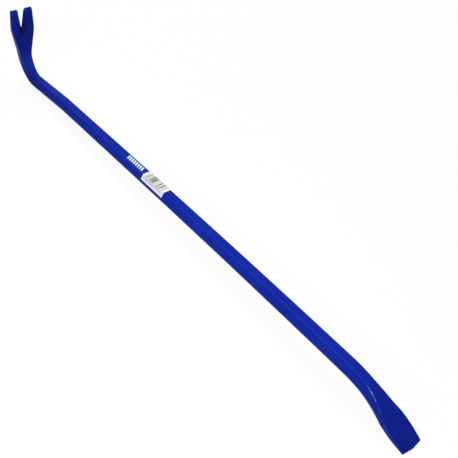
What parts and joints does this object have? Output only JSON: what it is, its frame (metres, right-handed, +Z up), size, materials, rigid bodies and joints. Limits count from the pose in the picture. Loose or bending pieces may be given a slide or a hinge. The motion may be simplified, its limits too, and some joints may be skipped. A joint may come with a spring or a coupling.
{
  "type": "claw bar",
  "caption": "Blue painted hexagonal steel claw bar with a notched, upturned claw at one end and a cranked chisel at the other, with labels on its shaft.",
  "frame": {"origin": "on the floor, under the middle of the bar's box; the bar rests on its chisel edge and on the heel of its claw", "axes": "+X along the bar to the chisel's edge, -X to the claw, +Z up, toward the claw's tips; the bar is the same on both sides of the XZ plane"},
  "size_m": [1.079, 0.046, 0.1566],
  "materials": {
    "blue_enamel": "gloss enamel over forged steel",
    "label_paper": "matt white label paper",
    "sticker_vinyl": "gloss blue vinyl"
  },
  "bodies": {
    "root": {"forged_bar": "blue_enamel", "barcode_label": "label_paper", "name_sticker": "sticker_vinyl"}
  },
  "joints": []
}
